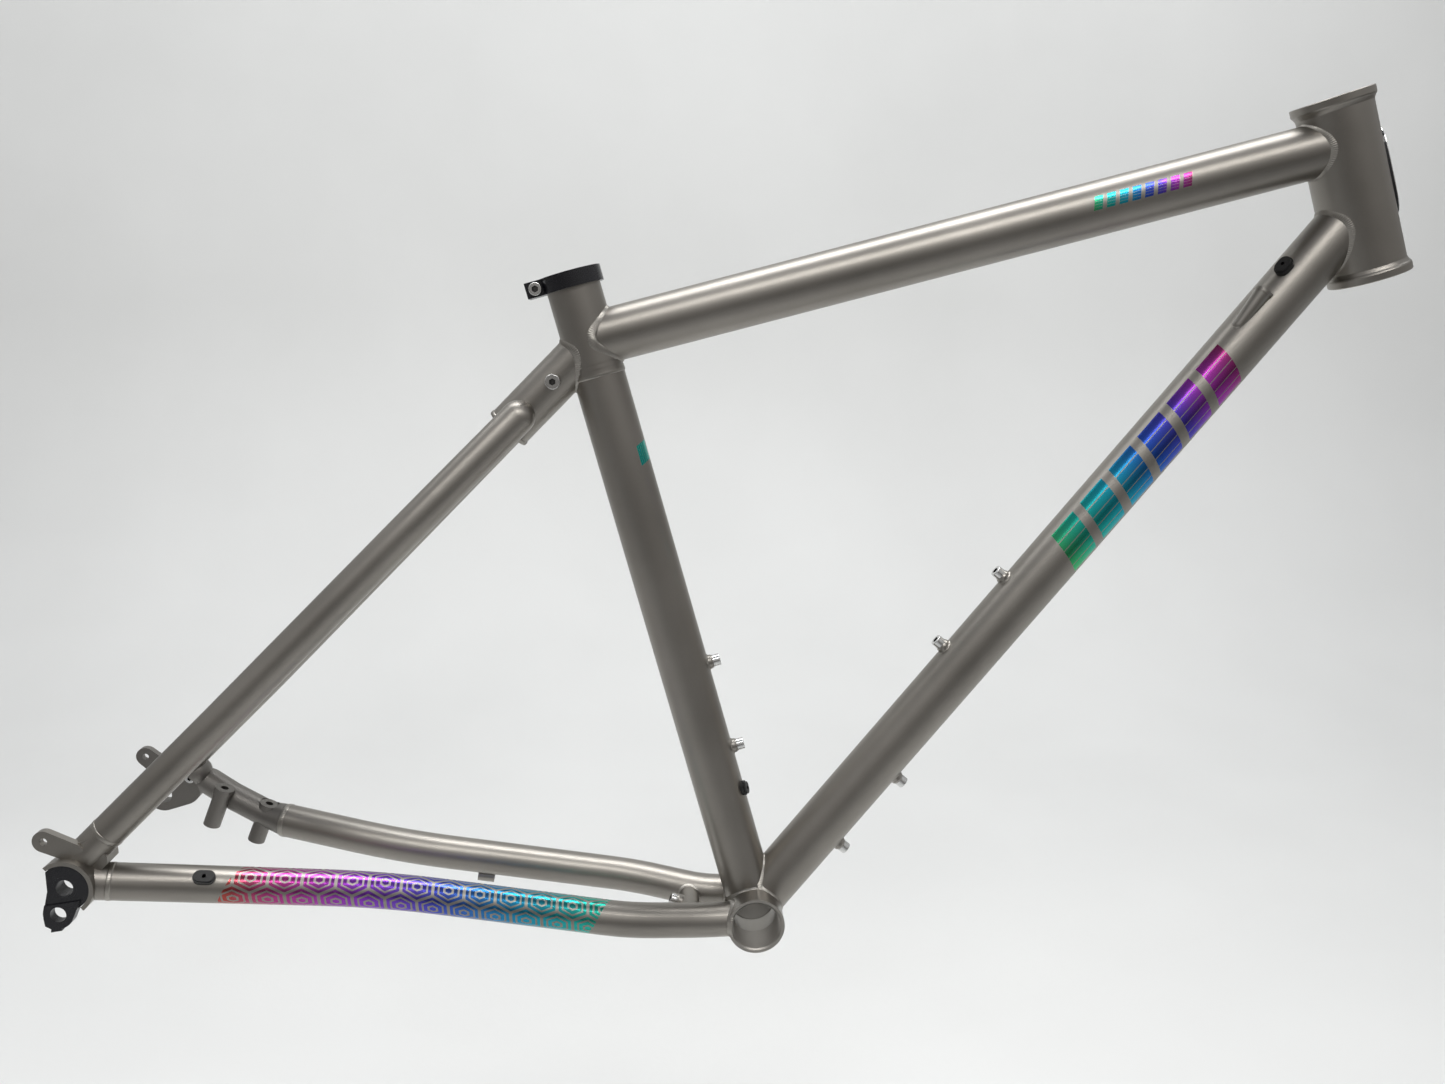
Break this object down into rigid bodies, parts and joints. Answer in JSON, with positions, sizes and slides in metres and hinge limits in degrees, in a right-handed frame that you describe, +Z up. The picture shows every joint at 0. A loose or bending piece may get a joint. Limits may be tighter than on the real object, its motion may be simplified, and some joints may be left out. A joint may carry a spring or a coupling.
{
  "type": "bicycle frame",
  "caption": "Bare titanium gravel bicycle frame with wishbone seatstays, flat brake mounts, threaded bottle bosses, seat collar and a replaceable derailleur hanger.",
  "frame": {"origin": "centre of the bottom bracket shell", "axes": "+X forward to the head tube, +Z up, +Y to the rider's left"},
  "size_m": [0.907, 0.1693, 0.5913],
  "materials": {
    "titanium": "satin bead-blasted titanium",
    "printed_titanium": "matt grained titanium",
    "machined_titanium": "satin machined titanium",
    "black_anodised": "black anodised satin",
    "steel_bolt": "polished stainless steel",
    "rubber": "matt black rubber",
    "badge_metal": "polished with a dark field"
  },
  "bodies": {
    "frame": {"head_tube": "titanium", "top_tube": "titanium", "down_tube": "titanium", "seat_tube": "titanium", "seat_tube_sleeve": "machined_titanium", "bottom_bracket_shell": "machined_titanium", "wishbone_tube": "titanium", "wishbone_cap": "titanium", "right_seatstay": "titanium", "left_seatstay": "titanium", "right_chainstay": "titanium", "left_chainstay": "titanium", "chainstay_bridge": "titanium", "right_dropout": "machined_titanium", "left_dropout": "printed_titanium", "dropout_screw": "steel_bolt", "bridge_boss": "machined_titanium", "bridge_bolt": "steel_bolt", "down_tube_bosses": "machined_titanium", "down_tube_bolts": "steel_bolt", "under_tube_bosses": "machined_titanium", "under_tube_bolts": "steel_bolt", "seat_tube_bosses": "machined_titanium", "seat_tube_bolts": "steel_bolt", "rack_bosses": "machined_titanium", "rack_bolts": "steel_bolt", "down_tube_grommet": "rubber", "seat_tube_grommet": "rubber", "chainstay_grommet": "rubber", "cable_stop": "machined_titanium", "hose_guide": "machined_titanium", "head_badge": "badge_metal", "badge_pins": "steel_bolt"},
    "hanger": {"derailleur_hanger": "black_anodised"},
    "hanger_bolt": {"hanger_bolt": "black_anodised"},
    "collar": {"seat_collar": "black_anodised", "collar_nut": "steel_bolt"},
    "collar_bolt": {"collar_bolt": "steel_bolt"}
  },
  "joints": [
    {"name": "hanger_swing", "type": "hinge", "parent": "frame", "child": "hanger", "pos_m": [-0.4436, -0.0797, 0.0641], "axis": [0, 1, 0], "range_deg": [0, 25]},
    {"name": "hanger_bolt_turn", "type": "hinge", "parent": "frame", "child": "hanger_bolt", "pos_m": [-0.4436, -0.076, 0.0641], "axis": [0, 1, 0], "continuous": true},
    {"name": "collar_turn", "type": "hinge", "parent": "frame", "child": "collar", "pos_m": [-0.12177, 0, 0.44452], "axis": [-0.2642, 0, 0.9645], "continuous": true},
    {"name": "collar_bolt_turn", "type": "hinge", "parent": "collar", "child": "collar_bolt", "pos_m": [-0.14454, 0, 0.43829], "axis": [0, -1, 0], "continuous": true}
  ]
}
